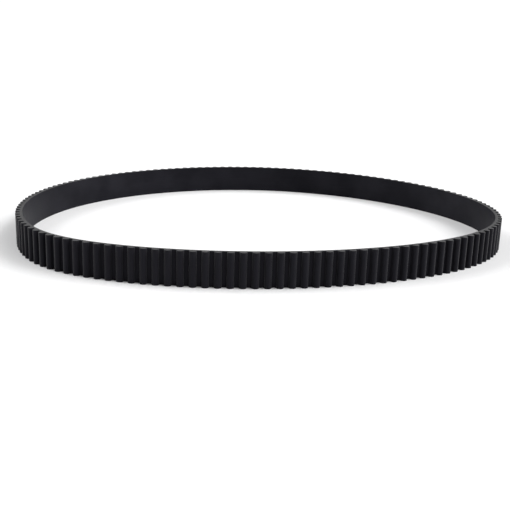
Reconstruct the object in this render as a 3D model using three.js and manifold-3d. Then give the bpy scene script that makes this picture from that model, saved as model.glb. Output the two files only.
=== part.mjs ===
// A round-tooth timing belt, as an assembly of the layers that a moulded endless belt is made of.
//
// The belt stands on a cut edge in a relaxed, slightly egg-shaped loop, and it is turned inside out:
// the teeth face outwards and the smooth back faces into the loop. From the inside of the loop to the
// outside its layers are the rubber backing, two glass cords that are wound side by side as helices
// from one edge to the other and lie in helical beds in the backing, the rubber teeth on their thin
// web, and the nylon facing that covers the teeth and the lands between them.
//
// Units are millimetres and +Z is up. Z runs across the belt's width, the lower cut edge lies on
// Z = 0, and the origin is the centre of the belt's bounding box on that plane.

import * as THREE from "three";
import { mergeVertices } from "three/addons/utils/BufferGeometryUtils.js";
import Module from "manifold-3d";

// Driving dimensions of the belt
const TOOTH_PITCH = 5;
const TOOTH_COUNT = 141;
const BELT_WIDTH = 15;

// Belt section, measured across the belt's thickness
const TOOTH_HEIGHT = 2; // from the land between two teeth up to the crest
const CREST_RADIUS = 1.48; // the crest is half a circle of this radius
const TOOTH_FOOT_WIDTH = 3.78; // where the root fillets meet the land on both sides
const LAND_THICKNESS = 1.2; // from the smooth back to the land between two teeth
const CORD_DEPTH = 0.57; // from the land down to the cord centres, which lie on the pitch line
const CORD_DIAMETER = 0.45;
const CORD_CLEARANCE = 0.02; // between a cord and the walls of its bed in the backing
const BACKING_REACH = 0.15; // from the cord centres out to where the backing ends
const WEB_START = 0.26; // from the cord centres out to where the web under the teeth starts
const FACING_THICKNESS = 0.15;
const FACING_CLEARANCE = 0.03; // between the facing and the rubber that it covers

// Winding of the two cords
const STRAND_SPACING = 1.5; // from one strand to the next across the belt's width
const CORD_SIDES = 5;
const BED_SIDES = 4;
const S_CORD_START_DEGREES = 0;
const Z_CORD_START_DEGREES = 180;
const LOWEST_STRAND = STRAND_SPACING / 2; // height of a cord's first and last strand over an edge
const CLIMB_PER_TURN = 2 * STRAND_SPACING; // the other cord lies between two turns of this one
const CORD_TURNS = (BELT_WIDTH - 2 * LOWEST_STRAND) / CLIMB_PER_TURN;

// The relaxed loop of the pitch line. It is given by its support function: the distance from the
// centre to the tangent line whose outward normal points along a given angle. The mean of that
// distance follows from the belt's pitch length, and each harmonic adds a peak at an angle.
const LOOP_RADIUS = (TOOTH_PITCH * TOOTH_COUNT) / (2 * Math.PI);
const LOOP_HARMONICS = [
  { order: 2, amplitude: 7.4, peakDegrees: 15 }, // makes the loop longer than it is wide
  { order: 3, amplitude: 3.72, peakDegrees: -16 }, // makes one end blunter than the other
  { order: 4, amplitude: 0.9, peakDegrees: -32 }, // flattens the long sides
  { order: 5, amplitude: 0.45, peakDegrees: 20 }, // sharpens the tighter of the two end bends
];
const FIRST_TOOTH_ARC = 1.15; // the first tooth's distance along the pitch line

// How finely the curves are drawn
const LOOP_STEPS = 48; // facets of the smooth walls and of one turn of a cord
const CREST_STEPS = 4; // facets of one tooth's crest
const NEWTON_STEPS = 6;

// Colours and finishes
const LAYER_MATERIALS = {
  backing: { color: 0x1d1c1b, roughness: 0.55, metalness: 0 },
  teeth: { color: 0x232323, roughness: 0.7, metalness: 0 },
  facing: { color: 0x141415, roughness: 0.6, metalness: 0 },
  glassCord: { color: 0x8f8a80, roughness: 0.5, metalness: 0 },
};

const wasm = await Module();
wasm.setup();

function harmonicSum(angle, term) {
  return LOOP_HARMONICS.reduce((sum, { order, amplitude, peakDegrees }) => {
    const phase = order * (angle - THREE.MathUtils.degToRad(peakDegrees));
    return sum + amplitude * term(order, phase);
  }, 0);
}

function supportDistance(angle) {
  return LOOP_RADIUS + harmonicSum(angle, (order, phase) => Math.cos(phase));
}

function supportSlope(angle) {
  return harmonicSum(angle, (order, phase) => -order * Math.sin(phase));
}

function curvatureRadius(angle) {
  return LOOP_RADIUS + harmonicSum(angle, (order, phase) => (1 - order ** 2) * Math.cos(phase));
}

// Distance along the pitch line to the point whose normal has this angle
function arcAtAngle(angle) {
  const bulge = harmonicSum(angle, (order, phase) => ((1 - order ** 2) / order) * Math.sin(phase));
  return LOOP_RADIUS * angle + bulge;
}

function angleAtArc(arc) {
  let angle = arc / LOOP_RADIUS;
  for (let step = 0; step < NEWTON_STEPS; step += 1) {
    angle += (arc - arcAtAngle(angle)) / curvatureRadius(angle);
  }
  return angle;
}

// A point at this normal angle, moved out from the pitch line by the offset
function loopPoint(angle, offset) {
  const distance = supportDistance(angle) + offset;
  const slope = supportSlope(angle);
  return new THREE.Vector2(
    distance * Math.cos(angle) - slope * Math.sin(angle),
    distance * Math.sin(angle) + slope * Math.cos(angle),
  );
}

function smoothOutline(offset) {
  return Array.from({ length: LOOP_STEPS }, (_, step) =>
    loopPoint((2 * Math.PI * step) / LOOP_STEPS, offset),
  );
}

// One tooth and the start of the land after it, as [distance along the belt, height over the land].
// The inset moves the whole outline into the rubber, which gives the layers under the surface.
function toothProfile(inset) {
  const footReach = TOOTH_FOOT_WIDTH / 2;
  const crestCentre = TOOTH_HEIGHT - CREST_RADIUS;
  const radius = CREST_RADIUS - inset;
  const crest = Array.from({ length: CREST_STEPS + 1 }, (_, step) => {
    const turn = Math.PI * (1 - step / CREST_STEPS);
    return [radius * Math.cos(turn), crestCentre + radius * Math.sin(turn)];
  });
  return [[-footReach, -inset], ...crest, [footReach, -inset]];
}

function toothedOutline(inset) {
  const profile = toothProfile(inset);
  const outline = [];
  for (let tooth = 0; tooth < TOOTH_COUNT; tooth += 1) {
    const centre = FIRST_TOOTH_ARC + tooth * TOOTH_PITCH;
    for (const [along, height] of profile) {
      outline.push(loopPoint(angleAtArc(centre + along), CORD_DEPTH + height));
    }
  }
  return outline;
}

function layerMaterial(layer) {
  return new THREE.MeshStandardMaterial(LAYER_MATERIALS[layer]);
}

// A closed ring between two outlines, standing from one cut edge of the belt to the other
function makeRing(name, outerOutline, innerOutline, layer) {
  const section = new THREE.Shape(outerOutline);
  section.holes.push(new THREE.Path(innerOutline));
  const geometry = new THREE.ExtrudeGeometry(section, { depth: BELT_WIDTH, bevelEnabled: false });
  const ring = new THREE.Mesh(geometry, layerMaterial(layer));
  ring.name = name;
  return ring;
}

// The path of one cord: it follows the pitch line round and round while it climbs across the width.
// It runs between two counted steps of the loop, so that it can start before or end after the cord.
class CordPath extends THREE.Curve {
  constructor(startDegrees, firstStep, lastStep) {
    super();
    this.startAngle = THREE.MathUtils.degToRad(startDegrees);
    this.firstStep = firstStep;
    this.lastStep = lastStep;
  }

  getPoint(t, target = new THREE.Vector3()) {
    const turns = THREE.MathUtils.lerp(this.firstStep, this.lastStep, t) / LOOP_STEPS;
    const { x, y } = loopPoint(this.startAngle + 2 * Math.PI * turns, 0);
    return target.set(x, y, LOWEST_STRAND + CLIMB_PER_TURN * turns);
  }

  // Steps of equal angle keep every turn's facets parallel to those of the layers around it
  getUtoTmapping(u) {
    return u;
  }
}

function sweepCord(startDegrees, radius, sides, extraSteps) {
  const firstStep = -extraSteps;
  const lastStep = Math.round(CORD_TURNS * LOOP_STEPS) + extraSteps;
  const section = new THREE.Shape(
    Array.from({ length: sides }, (_, side) => {
      const turn = (2 * Math.PI * (side + 0.5)) / sides; // half a side round, so that a bed is square-on
      return new THREE.Vector2(radius * Math.cos(turn), radius * Math.sin(turn));
    }),
  );
  return new THREE.ExtrudeGeometry(section, {
    steps: lastStep - firstStep,
    bevelEnabled: false,
    extrudePath: new CordPath(startDegrees, firstStep, lastStep),
  });
}

function makeCord(name, startDegrees) {
  const geometry = sweepCord(startDegrees, CORD_DIAMETER / 2, CORD_SIDES, 0);
  const cord = new THREE.Mesh(geometry, layerMaterial("glassCord"));
  cord.name = name;
  return cord;
}

function toSolid(geometry) {
  const bare = geometry.clone();
  bare.deleteAttribute("normal");
  bare.deleteAttribute("uv");
  const merged = mergeVertices(bare);
  return new wasm.Manifold(
    new wasm.Mesh({
      numProp: 3,
      vertProperties: merged.getAttribute("position").array,
      triVerts: new Uint32Array(merged.getIndex().array),
    }),
  );
}

function toGeometry(solid) {
  const { vertProperties, triVerts } = solid.getMesh();
  const geometry = new THREE.BufferGeometry();
  geometry.setAttribute("position", new THREE.BufferAttribute(vertProperties, 3));
  geometry.setIndex(new THREE.BufferAttribute(triVerts, 1));
  return geometry;
}

// The backing ring with the helical beds that the two cords lie in
function makeBacking() {
  const outer = smoothOutline(BACKING_REACH);
  const inner = smoothOutline(CORD_DEPTH - LAND_THICKNESS);
  const backing = makeRing("backing_rubber", outer, inner, "backing");
  const bedRadius = (CORD_DIAMETER / 2 + CORD_CLEARANCE) / Math.cos(Math.PI / BED_SIDES);
  const grooved = [S_CORD_START_DEGREES, Z_CORD_START_DEGREES].reduce(
    (solid, startDegrees) => solid.subtract(toSolid(sweepCord(startDegrees, bedRadius, BED_SIDES, 1))),
    toSolid(backing.geometry),
  );
  backing.geometry = toGeometry(grooved);
  return backing;
}

function makeTeeth() {
  const outer = toothedOutline(FACING_THICKNESS + FACING_CLEARANCE);
  const inner = smoothOutline(WEB_START);
  return makeRing("tooth_rubber", outer, inner, "teeth");
}

function makeFacing() {
  const outer = toothedOutline(0);
  const inner = toothedOutline(FACING_THICKNESS);
  return makeRing("tooth_facing_fabric", outer, inner, "facing");
}

function makeBelt() {
  const belt = new THREE.Group();
  belt.name = "timing_belt";
  belt.add(
    makeBacking(),
    makeCord("tension_cord_s_twist", S_CORD_START_DEGREES),
    makeCord("tension_cord_z_twist", Z_CORD_START_DEGREES),
    makeTeeth(),
    makeFacing(),
  );
  const box = new THREE.Box3().setFromObject(belt);
  const centre = box.getCenter(new THREE.Vector3());
  belt.position.set(-centre.x, -centre.y, -box.min.z);
  return belt;
}

export default makeBelt();
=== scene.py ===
"""The looks of a round-tooth timing belt, standing on its cut edge on a pale floor.

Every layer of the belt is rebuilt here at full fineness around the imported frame: the rubber back, the
two twisted glass cords, the rubber teeth and the nylon facing. Lengths are in metres.
"""

import math

import bpy
from mathutils import Matrix, Vector


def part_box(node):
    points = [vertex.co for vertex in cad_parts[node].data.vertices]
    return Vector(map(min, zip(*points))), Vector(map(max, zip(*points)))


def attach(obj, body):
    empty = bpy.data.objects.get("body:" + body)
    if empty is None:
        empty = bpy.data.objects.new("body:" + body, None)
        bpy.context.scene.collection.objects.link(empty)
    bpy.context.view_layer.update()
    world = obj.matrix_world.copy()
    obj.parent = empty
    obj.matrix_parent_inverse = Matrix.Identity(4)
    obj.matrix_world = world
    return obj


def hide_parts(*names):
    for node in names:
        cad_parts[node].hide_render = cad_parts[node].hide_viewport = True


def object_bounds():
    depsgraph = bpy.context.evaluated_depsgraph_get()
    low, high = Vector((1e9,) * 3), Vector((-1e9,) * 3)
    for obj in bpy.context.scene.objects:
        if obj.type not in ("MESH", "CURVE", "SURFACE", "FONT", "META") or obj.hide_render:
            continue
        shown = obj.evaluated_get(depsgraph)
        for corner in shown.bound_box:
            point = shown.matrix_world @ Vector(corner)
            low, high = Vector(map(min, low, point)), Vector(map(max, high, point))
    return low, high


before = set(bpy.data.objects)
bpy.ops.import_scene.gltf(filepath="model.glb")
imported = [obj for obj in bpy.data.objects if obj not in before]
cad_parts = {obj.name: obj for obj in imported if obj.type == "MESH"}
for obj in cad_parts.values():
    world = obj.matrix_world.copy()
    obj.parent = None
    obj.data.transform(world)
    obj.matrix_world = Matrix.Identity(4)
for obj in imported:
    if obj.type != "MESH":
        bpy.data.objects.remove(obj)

CAD_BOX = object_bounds()
MM = 0.001

# The belt, as the frame was designed
TOOTH_PITCH = 5 * MM
TOOTH_COUNT = 141
TOOTH_HEIGHT = 2 * MM  # from the land between two teeth up to the crest
CREST_RADIUS = 1.48 * MM
ROOT_RADIUS = 0.41 * MM  # the fillet between a tooth's flank and the land
CORD_DEPTH = 0.57 * MM  # from the land down to the pitch line
LAND_THICKNESS = 1.2 * MM
FACING_THICKNESS = 0.15 * MM
CORD_RADIUS = 0.225 * MM
STRAND_SPACING = 1.5 * MM
BACK_REACH = 0.2 * MM  # from the pitch line out to where the back meets the teeth
SEAM = 0.004 * MM  # half of the hairline between two layers
BELT_WIDTH = CAD_BOX[1].z - CAD_BOX[0].z
LAP = TOOTH_PITCH * TOOTH_COUNT

# The relaxed loop of the pitch line, by its support function: (order, amplitude, angle of a peak)
LOOP_RADIUS = LAP / math.tau
LOOP_HARMONICS = (
    (2, 7.4 * MM, math.radians(15)),
    (3, 3.72 * MM, math.radians(-16)),
    (4, 0.9 * MM, math.radians(-32)),
    (5, 0.45 * MM, math.radians(20)),
)
FIRST_TOOTH_ARC = 1.15 * MM
NEWTON_STEPS = 6

# Fineness of the meshes
CREST_STEPS = 16
FILLET_STEPS = 5
LAND_STEPS = 3
BACK_STEPS = 6 * TOOTH_COUNT
BACK_ROWS = 4
TOOTH_ROWS = 2
CUT_ROWS = 4
HEM = 0.05 * MM  # the softened corner along a cut edge
WIDEST_HEM = 0.25  # as a share of the layer's thickness
SHARP_ANGLE = math.radians(35)

# The cords' yarns
CORD_STEP = 1.0 * MM
CORD_SIDES = 9
CORD_LAY_LENGTH = 8 * MM  # along which the pattern of the yarns' ridges turns by one yarn
YARNS = 3
YARN_GROOVE = 0.1  # how far a groove or a ridge lies from the yarns' mean, as a share of the cord's radius
RIGHT_HAND, LEFT_HAND = 1, -1  # the screw that the yarns are laid like: a Z twist and an S twist

# Finishes: colours, specular levels and (least, most) roughness
NYLON_DARK, NYLON_LIGHT = (0.003, 0.0029, 0.0043), (0.0095, 0.0092, 0.0125)
NYLON_SPECULAR, NYLON_ROUGHNESS = 0.03, (0.3, 0.4)
NYLON_SHEEN, NYLON_SHEEN_ROUGHNESS = 0.085, 0.5
BACK_DARK, BACK_LIGHT = (0.004, 0.0039, 0.0062), (0.0085, 0.0083, 0.0115)
BACK_SPECULAR, BACK_ROUGHNESS = 0.07, (0.38, 0.5)
CUT_DARK, CUT_LIGHT = (0.018, 0.018, 0.019), (0.04, 0.0395, 0.041)
TOOTH_CUT_DARK, TOOTH_CUT_LIGHT = (0.021, 0.021, 0.022), (0.045, 0.0445, 0.046)
CUT_SPECULAR, CUT_ROUGHNESS = 0.4, (0.5, 0.7)
NYLON_CUT_ROUGHNESS = (0.6, 0.8)
CORD_DARK, CORD_LIGHT = (0.20, 0.16, 0.10), (0.42, 0.36, 0.26)
CORD_SPECULAR, CORD_ROUGHNESS = 0.5, (0.35, 0.55)
FLOOR_DARK, FLOOR_LIGHT = (0.745, 0.745, 0.75), (0.76, 0.76, 0.765)
FLOOR_SPECULAR, FLOOR_ROUGHNESS = 0, (0.88, 0.92)

# The facing's weave
THREAD_SPACING = 0.32 * MM
THREADS_PER_TOOTH = 23  # along one pitch of the facing, up and down its tooth
THREAD_BLEND = 0.3  # how gradually the warp and the weft take turns on top

# Patterns that are alike in all directions: (scale per metre, detail)
BACK_CLOUDS = (60, 4)
BACK_GRAIN = (4200, 2)
KNIFE_CRUMBS = (2600, 3)
NYLON_CLOUDS = (75, 4)
NYLON_FUZZ = (7000, 2)
NYLON_THREAD_ENDS = (5000, 2)
CORD_FILAMENTS = (2500, 3)
FLOOR_PAPER = (900, 2)

# Patterns drawn out along the belt: (scale along the belt, scale across it), both per metre
BACK_LINES = (60, 3500)
KNIFE_STREAKS = (150, 9000)
LINE_DETAIL = 3

# How much of a surface's tone the first of its two patterns makes
BACK_CLOUD_SHARE = 0.7
NYLON_THREAD_SHARE = 0.6

# Relief of the patterns: (strength, depth)
BACK_LINES_RELIEF = (0.12, 0.012 * MM)
BACK_GRAIN_RELIEF = (0.25, 0.015 * MM)
STREAKS_RELIEF = (0.35, 0.02 * MM)
CRUMBS_RELIEF = (0.3, 0.02 * MM)
THREADS_RELIEF = (0.4, 0.03 * MM)
FUZZ_RELIEF = (0.2, 0.01 * MM)
THREAD_ENDS_RELIEF = (0.4, 0.02 * MM)
FILAMENTS_RELIEF = (0.3, 0.01 * MM)
PAPER_RELIEF = (0.05, 0.02 * MM)

# Spans of a pattern's values over which a colour or a roughness goes from one end to the other
NOISE_SPAN = (0.3, 0.7)
BACK_SPAN = (0.4, 0.6)
NYLON_SPAN = (0.25, 0.7)

# The floor and the light: white walls that fade into a ceiling between two heights, each given as the
# sine of its angle over the floor, and lamps as (name, azimuth, height, spread, strength)
FLOOR_HALF_SIDE = 8
WALL_STRENGTH = 1.05
CEILING_STRENGTH = 0.35
WALL_TOP = (0.1, 0.35)
LAMPS = (
    ("left_softbox", 168, 33, 55, 2.6),
    ("right_softbox", 4, 33, 55, 3.8),
    ("front_softbox", 318, 30, 40, 1.0),
)


# ---------------------------------------------------------------- the loop

def support(angle):
    return LOOP_RADIUS + sum(a * math.cos(n * (angle - t)) for n, a, t in LOOP_HARMONICS)


def support_slope(angle):
    return -sum(n * a * math.sin(n * (angle - t)) for n, a, t in LOOP_HARMONICS)


def curvature_radius(angle):
    return LOOP_RADIUS + sum((1 - n * n) * a * math.cos(n * (angle - t)) for n, a, t in LOOP_HARMONICS)


def arc_at_angle(angle):
    bulge = sum((1 - n * n) / n * a * math.sin(n * (angle - t)) for n, a, t in LOOP_HARMONICS)
    return LOOP_RADIUS * angle + bulge


def angle_at_arc(arc):
    angle = arc / LOOP_RADIUS
    for _ in range(NEWTON_STEPS):
        angle += (arc - arc_at_angle(angle)) / curvature_radius(angle)
    return angle


def loop_origin():
    """Where the loop's own centre lies, from the box of the smooth back in the frame."""
    low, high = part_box("backing_rubber")
    middle = (low + high) / 2
    off_x = (support(0) - support(math.pi)) / 2
    off_y = (support(math.pi / 2) - support(math.pi * 3 / 2)) / 2
    return Vector((middle.x - off_x, middle.y - off_y, low.z))


ORIGIN = loop_origin()


def belt_point(arc, out, across):
    """The point at a distance along the pitch line, out from it and up across the belt's width."""
    angle = angle_at_arc(arc)
    reach = support(angle) + out
    slope = support_slope(angle)
    x = reach * math.cos(angle) - slope * math.sin(angle)
    y = reach * math.sin(angle) + slope * math.cos(angle)
    return ORIGIN + Vector((x, y, across))


# ---------------------------------------------------------------- walls and rings

# A wall is a list of (arc, out, length): where the wall stands on the belt, and how far along its own
# surface that is. It ends where it began, one lap on.

def plain_wall(out, count):
    start = FIRST_TOOTH_ARC - TOOTH_PITCH / 2
    return [(start + LAP * step / count, out, LAP * step / count) for step in range(count + 1)]


def tooth_profile(inset):
    """One pitch of the toothed wall as (along, height over the land), moved into the rubber by inset."""
    crest_centre = TOOTH_HEIGHT - CREST_RADIUS
    crest = CREST_RADIUS - inset
    root = ROOT_RADIUS + inset
    root_at = CREST_RADIUS + ROOT_RADIUS
    half = []
    for step in range(LAND_STEPS):
        half.append((-TOOTH_PITCH / 2 + (TOOTH_PITCH / 2 - root_at) * step / LAND_STEPS, -inset))
    for step in range(FILLET_STEPS + 1):
        turn = math.pi / 2 * step / FILLET_STEPS
        half.append((-root_at + root * math.sin(turn), ROOT_RADIUS - root * math.cos(turn)))
    for step in range(CREST_STEPS // 2):
        turn = math.pi * step / CREST_STEPS
        half.append((-crest * math.cos(turn), crest_centre + crest * math.sin(turn)))
    mirrored = [(-along, height) for along, height in reversed(half[1:])]
    return half + [(0, crest_centre + crest)] + mirrored


def toothed_wall(inset):
    profile = tooth_profile(inset)
    closed = profile + [(profile[0][0] + TOOTH_PITCH, profile[0][1])]
    lengths = [0.0]
    for (a, b), (c, d) in zip(closed, closed[1:]):
        lengths.append(lengths[-1] + math.hypot(c - a, d - b))
    pitch_length = lengths.pop()
    wall = []
    for tooth in range(TOOTH_COUNT):
        centre = FIRST_TOOTH_ARC + tooth * TOOTH_PITCH
        for (along, height), length in zip(profile, lengths):
            wall.append((centre + along, CORD_DEPTH + height, tooth * pitch_length + length))
    first_arc, first_out, _ = wall[0]
    return wall + [(first_arc + LAP, first_out, TOOTH_COUNT * pitch_length)]


def make_piece(name, points, faces, materials, smooth=True):
    mesh = bpy.data.meshes.new(name)
    mesh.from_pydata(points, [], faces)
    for material in materials:
        mesh.materials.append(material)
    mesh.polygons.foreach_set("use_smooth", [smooth] * len(faces))
    piece = bpy.data.objects.new(name, mesh)
    bpy.context.scene.collection.objects.link(piece)
    return piece


def layer_section(inner, outer, wall_rows):
    """One cross-section of a layer as a list of (arc, out, across, length). It goes up the inner wall,
    out over the upper cut face, down the outer wall and back, with softened corners."""
    rises = [HEM + (BELT_WIDTH - 2 * HEM) * row / wall_rows for row in range(wall_rows + 1)]
    corner = min(HEM / math.hypot(outer[0] - inner[0], outer[1] - inner[1]), WIDEST_HEM)
    shares = [corner + (1 - 2 * corner) * row / CUT_ROWS for row in range(CUT_ROWS + 1)]

    def between(share, across):
        arc, out, length = (a + (b - a) * share for a, b in zip(inner, outer))
        return arc, out, across, length

    section = [between(0, rise) for rise in rises]
    section += [between(share, BELT_WIDTH) for share in shares]
    section += [between(1, rise) for rise in reversed(rises)]
    section += [between(share, 0) for share in reversed(shares)]
    return section


INNER, OUTER, CUT = 0, 1, 2


def make_layer(name, inner, outer, wall_rows, materials):
    """A closed ring between two walls of equal count. materials are those of its inner wall, its outer
    wall and its cut faces."""
    sections = [layer_section(a, b, wall_rows) for a, b in zip(inner, outer)]
    count, sides = len(sections) - 1, len(sections[0])
    cut = [CUT] * (CUT_ROWS + 2)
    roles = [INNER] * wall_rows + cut + [OUTER] * wall_rows + cut
    faces, slots, uvs = [], [], []
    for j in range(count):
        k = (j + 1) % count
        for i in range(sides):
            h = (i + 1) % sides
            faces.append((j * sides + i, k * sides + i, k * sides + h, j * sides + h))
            slots.append(roles[i])
            for section, corner in ((j, i), (j + 1, i), (j + 1, h), (j, h)):
                arc, out, across, length = sections[section][corner]
                uvs += (arc, out) if roles[i] == CUT else (length, across)
    points = [belt_point(*p[:3]) for section in sections[:-1] for p in section]
    piece = make_piece(name, points, faces, materials)
    piece.data.polygons.foreach_set("material_index", slots)
    piece.data.uv_layers.new(name="belt").data.foreach_set("uv", uvs)
    piece.data.set_sharp_from_angle(angle=SHARP_ANGLE)
    return piece


# ---------------------------------------------------------------- materials

def new_material(name, specular_level):
    material = bpy.data.materials.new(name)
    material.use_nodes = True
    shader = material.node_tree.nodes["Principled BSDF"]
    shader.inputs["Specular IOR Level"].default_value = specular_level
    return material, material.node_tree, shader


def add_node(tree, kind, inputs=(), **settings):
    """A node with its settings, and with its inputs set to values or linked to outputs."""
    node = tree.nodes.new(kind)
    for key, value in settings.items():
        setattr(node, key, value)
    for key, value in dict(inputs).items():
        if isinstance(value, bpy.types.NodeSocket):
            tree.links.new(value, node.inputs[key])
        else:
            node.inputs[key].default_value = value
    return node


def belt_coordinates(tree, along, across):
    """The belt's own coordinates in metres, along the loop and across it, each times a scale."""
    uv = add_node(tree, "ShaderNodeUVMap", uv_map="belt").outputs["UV"]
    scaled = add_node(tree, "ShaderNodeMapping", {"Vector": uv, "Scale": (along, across, 1)})
    return scaled.outputs["Vector"]


def noise(tree, vector, scale, detail):
    inputs = {"Vector": vector, "Scale": scale, "Detail": detail}
    return add_node(tree, "ShaderNodeTexNoise", inputs).outputs["Fac"]


def even_noise(tree, pattern):
    """Noise that is alike in all directions."""
    return noise(tree, add_node(tree, "ShaderNodeTexCoord").outputs["Object"], *pattern)


def lines_along(tree, scales):
    """Noise drawn out along the belt, by its scales along the belt and across it."""
    return noise(tree, belt_coordinates(tree, *scales), 1, LINE_DETAIL)


def remap(tree, value, low, high, span=NOISE_SPAN):
    """A value that goes from low to high while the given one goes through the span."""
    inputs = {"Value": value, "From Min": span[0], "From Max": span[1], "To Min": low, "To Max": high}
    return add_node(tree, "ShaderNodeMapRange", inputs).outputs["Result"]


def maths(tree, operation, a, b=0.0):
    return add_node(tree, "ShaderNodeMath", {0: a, 1: b}, operation=operation).outputs["Value"]


def mix(tree, a, b, share):
    """The given share of a and the rest of b."""
    return maths(tree, "ADD", maths(tree, "MULTIPLY", a, share), maths(tree, "MULTIPLY", b, 1 - share))


def two_colours(tree, value, dark, light, span=NOISE_SPAN):
    ramp = add_node(tree, "ShaderNodeValToRGB", {"Fac": value})
    for element, at, colour in zip(ramp.color_ramp.elements, span, (dark, light)):
        element.position = at
        element.color = (*colour, 1)
    return ramp.outputs["Color"]


def bump(tree, height, relief, below=None):
    strength, depth = relief
    inputs = {"Height": height, "Strength": strength, "Distance": depth}
    if below is not None:
        inputs["Normal"] = below
    return add_node(tree, "ShaderNodeBump", inputs).outputs["Normal"]


def finish(tree, shader, colour, roughness, normal):
    tree.links.new(colour, shader.inputs["Base Color"])
    tree.links.new(roughness, shader.inputs["Roughness"])
    tree.links.new(normal, shader.inputs["Normal"])


def back_rubber():
    """Moulded and ground rubber: cloudy gloss, fine grinding lines along the belt and a fine grain."""
    material, tree, shader = new_material("moulded_back_rubber", BACK_SPECULAR)
    clouds = even_noise(tree, BACK_CLOUDS)
    lines = lines_along(tree, BACK_LINES)
    grain = even_noise(tree, BACK_GRAIN)
    tone = mix(tree, clouds, lines, BACK_CLOUD_SHARE)
    colour = two_colours(tree, tone, BACK_DARK, BACK_LIGHT, BACK_SPAN)
    normal = bump(tree, lines, BACK_LINES_RELIEF)
    normal = bump(tree, grain, BACK_GRAIN_RELIEF, below=normal)
    finish(tree, shader, colour, remap(tree, tone, *BACK_ROUGHNESS), normal)
    return material


def cut_rubber(name, dark, light):
    """Rubber where the knife parted the belt from its sleeve: grey and matt, with streaks along it."""
    material, tree, shader = new_material(name, CUT_SPECULAR)
    streaks = lines_along(tree, KNIFE_STREAKS)
    crumbs = even_noise(tree, KNIFE_CRUMBS)
    colour = two_colours(tree, streaks, dark, light)
    normal = bump(tree, streaks, STREAKS_RELIEF)
    normal = bump(tree, crumbs, CRUMBS_RELIEF, below=normal)
    finish(tree, shader, colour, remap(tree, crumbs, *CUT_ROUGHNESS), normal)
    return material


def weave(tree, along, across):
    """Height of a plain weave, from its thread spacings: where the warp lies on top its threads show,
    and the weft's elsewhere."""
    turns = belt_coordinates(tree, math.pi / along, math.pi / across)
    split = add_node(tree, "ShaderNodeSeparateXYZ", {"Vector": turns})
    waves = [maths(tree, "SINE", split.outputs[axis]) for axis in "XY"]
    weft, warp = (maths(tree, "ABSOLUTE", wave) for wave in waves)
    turn = maths(tree, "MULTIPLY", *waves)
    warp_share = remap(tree, turn, 0, 1, (-THREAD_BLEND, THREAD_BLEND))
    warp_top = maths(tree, "MULTIPLY", warp, warp_share)
    weft_top = maths(tree, "MULTIPLY", weft, maths(tree, "SUBTRACT", 1, warp_share))
    return maths(tree, "MAXIMUM", warp_top, weft_top)


def nylon_facing(spacing_along):
    """Black nylon fabric, impregnated with rubber: its threads show, and their colour is lighter on their
    tops than in the hollows between them.
    """
    material, tree, shader = new_material("nylon_tooth_facing", NYLON_SPECULAR)
    shader.inputs["Sheen Weight"].default_value = NYLON_SHEEN
    shader.inputs["Sheen Roughness"].default_value = NYLON_SHEEN_ROUGHNESS
    threads = weave(tree, spacing_along, THREAD_SPACING)
    clouds = even_noise(tree, NYLON_CLOUDS)
    fuzz = even_noise(tree, NYLON_FUZZ)
    tone = mix(tree, threads, clouds, NYLON_THREAD_SHARE)
    colour = two_colours(tree, tone, NYLON_DARK, NYLON_LIGHT, NYLON_SPAN)
    normal = bump(tree, threads, THREADS_RELIEF)
    normal = bump(tree, fuzz, FUZZ_RELIEF, below=normal)
    finish(tree, shader, colour, remap(tree, clouds, *NYLON_ROUGHNESS), normal)
    return material


def speckled(name, specular_level, pattern, colours, roughness, relief):
    """A material of fine light and dark specks in all directions."""
    material, tree, shader = new_material(name, specular_level)
    specks = even_noise(tree, pattern)
    colour = two_colours(tree, specks, *colours)
    finish(tree, shader, colour, remap(tree, specks, *roughness), bump(tree, specks, relief))
    return material


def nylon_cut():
    """The facing's cut edge: the ends of its threads as light and dark specks."""
    colours = (CUT_DARK, CUT_LIGHT)
    return speckled(
        "nylon_cut_ends", CUT_SPECULAR, NYLON_THREAD_ENDS, colours, NYLON_CUT_ROUGHNESS, THREAD_ENDS_RELIEF
    )


def glass_cord():
    """Treated glass fibre yarn, in fine light and dark filaments."""
    colours = (CORD_DARK, CORD_LIGHT)
    return speckled(
        "glass_cord", CORD_SPECULAR, CORD_FILAMENTS, colours, CORD_ROUGHNESS, FILAMENTS_RELIEF
    )


def pale_floor():
    colours = (FLOOR_DARK, FLOOR_LIGHT)
    return speckled("pale_floor", FLOOR_SPECULAR, FLOOR_PAPER, colours, FLOOR_ROUGHNESS, PAPER_RELIEF)


# ---------------------------------------------------------------- the belt

def stand_for(piece, node):
    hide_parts(node)
    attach(piece, "root")


def make_back(rubber, cut):
    inner = plain_wall(CORD_DEPTH - LAND_THICKNESS, BACK_STEPS)
    outer = plain_wall(BACK_REACH - SEAM, BACK_STEPS)
    piece = make_layer("rubber_back", inner, outer, BACK_ROWS, [rubber, cut, cut])
    stand_for(piece, "backing_rubber")


def make_teeth(cut):
    outer = toothed_wall(FACING_THICKNESS + SEAM)
    inner = plain_wall(BACK_REACH + SEAM, len(outer) - 1)
    piece = make_layer("rubber_teeth", inner, outer, TOOTH_ROWS, [cut, cut, cut])
    stand_for(piece, "tooth_rubber")


def make_facing(cut):
    inner = toothed_wall(FACING_THICKNESS - SEAM)
    outer = toothed_wall(0)
    nylon = nylon_facing(outer[-1][2] / (TOOTH_COUNT * THREADS_PER_TOOTH))
    piece = make_layer("nylon_facing", inner, outer, TOOTH_ROWS, [nylon, nylon, cut])
    stand_for(piece, "tooth_facing_fabric")


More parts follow.
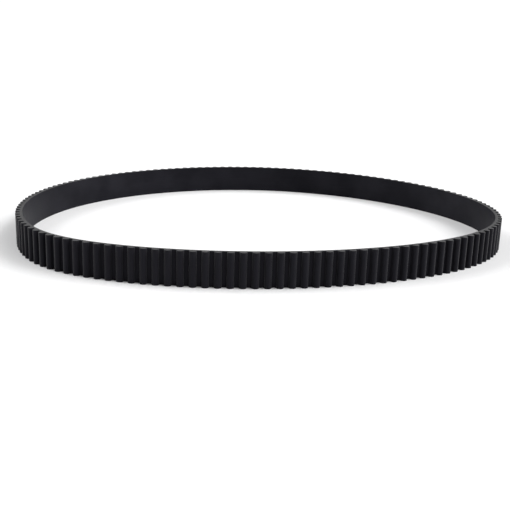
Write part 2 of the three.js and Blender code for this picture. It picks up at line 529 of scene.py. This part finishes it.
def make_cord(name, node, start, twist, material):
    """A twisted cord wound as a helix from one cut edge to the other. twist is the hand of its yarns."""
    low, high = STRAND_SPACING / 2, BELT_WIDTH - STRAND_SPACING / 2
    length = LAP * (high - low) / (2 * STRAND_SPACING)
    steps = round(length / CORD_STEP)
    points, faces = [], []
    for step in range(steps + 1):
        along = length * step / steps
        rise = low + (high - low) * step / steps
        lay = twist * math.tau * along / CORD_LAY_LENGTH
        for side in range(CORD_SIDES):
            turn = math.tau * side / CORD_SIDES
            radius = CORD_RADIUS * (1 - YARN_GROOVE + YARN_GROOVE * math.cos(YARNS * turn + lay))
            points.append(belt_point(start + along, radius * math.cos(turn), rise + radius * math.sin(turn)))
    for step in range(steps):
        for side in range(CORD_SIDES):
            a = step * CORD_SIDES + side
            b = step * CORD_SIDES + (side + 1) % CORD_SIDES
            faces.append((a, a + CORD_SIDES, b + CORD_SIDES, b))
    faces.append(tuple(range(CORD_SIDES)))
    faces.append(tuple(reversed(range(steps * CORD_SIDES, (steps + 1) * CORD_SIDES))))
    stand_for(make_piece(name, points, faces, [material]), node)


# ---------------------------------------------------------------- camera, light and floor

CAMERA_PLACE = (-0.87 * MM, -407.6 * MM, 97.99 * MM)  # from the loop's own centre on the floor
CAMERA_PITCH, CAMERA_ROLL = 0.2688, 0.0319  # looking down and tilted, in radians
CAMERA_LENS, CAMERA_SENSOR = 56.31, 36  # focal length and sensor width, in millimetres


def make_camera():
    data = bpy.data.cameras.new("camera")
    data.sensor_width = CAMERA_SENSOR
    data.lens = CAMERA_LENS
    camera = bpy.data.objects.new("camera", data)
    bpy.context.scene.collection.objects.link(camera)
    forward = Vector((0, math.cos(CAMERA_PITCH), -math.sin(CAMERA_PITCH)))
    level = Vector((1, 0, 0))
    right = math.cos(CAMERA_ROLL) * level + math.sin(CAMERA_ROLL) * level.cross(forward)
    turn = Matrix((right, right.cross(forward), -forward)).transposed()
    camera.matrix_world = Matrix.Translation(ORIGIN + Vector(CAMERA_PLACE)) @ turn.to_4x4()
    bpy.context.scene.camera = camera


def make_floor(half_side):
    corners = [(x * half_side, y * half_side, 0) for x, y in ((-1, -1), (1, -1), (1, 1), (-1, 1))]
    make_piece("floor", corners, [(0, 1, 2, 3)], [pale_floor()], smooth=False)


def soft_sun(name, azimuth, height, spread, strength):
    """A lamp so far away that it lights the whole floor alike, as wide as a softbox. Angles in degrees."""
    data = bpy.data.lights.new(name, "SUN")
    data.energy = strength
    data.angle = math.radians(spread)
    lamp = bpy.data.objects.new(name, data)
    turn, rise = math.radians(azimuth), math.radians(height)
    towards = Vector((math.cos(turn) * math.cos(rise), math.sin(turn) * math.cos(rise), math.sin(rise)))
    lamp.rotation_euler = towards.to_track_quat("Z", "Y").to_euler()
    bpy.context.scene.collection.objects.link(lamp)


def make_light():
    """White walls round a wide floor under a dimmer ceiling, with a softbox on each side and one in front."""
    world = bpy.data.worlds.new("studio")
    world.use_nodes = True
    tree = world.node_tree
    background = tree.nodes["Background"]
    background.inputs["Color"].default_value = (1, 1, 1, 1)
    direction = add_node(tree, "ShaderNodeTexCoord").outputs["Generated"]
    height = add_node(tree, "ShaderNodeSeparateXYZ", {"Vector": direction}).outputs["Z"]
    strength = remap(tree, height, WALL_STRENGTH, CEILING_STRENGTH, WALL_TOP)
    tree.links.new(strength, background.inputs["Strength"])
    bpy.context.scene.world = world
    for lamp in LAMPS:
        soft_sun(*lamp)
    bpy.context.scene.view_settings.view_transform = "Standard"


make_camera()
make_floor(FLOOR_HALF_SIDE)
make_light()
make_back(back_rubber(), cut_rubber("knife_cut_backing", CUT_DARK, CUT_LIGHT))
make_teeth(cut_rubber("knife_cut_teeth", TOOTH_CUT_DARK, TOOTH_CUT_LIGHT))
make_facing(nylon_cut())
cord_material = glass_cord()
# The two hands are the reverse of what the names say. It can't be seen, as the rubber hides the cords.
make_cord("cord_s_twist", "tension_cord_s_twist", 0, RIGHT_HAND, cord_material)
make_cord("cord_z_twist", "tension_cord_z_twist", LAP / 2, LEFT_HAND, cord_material)
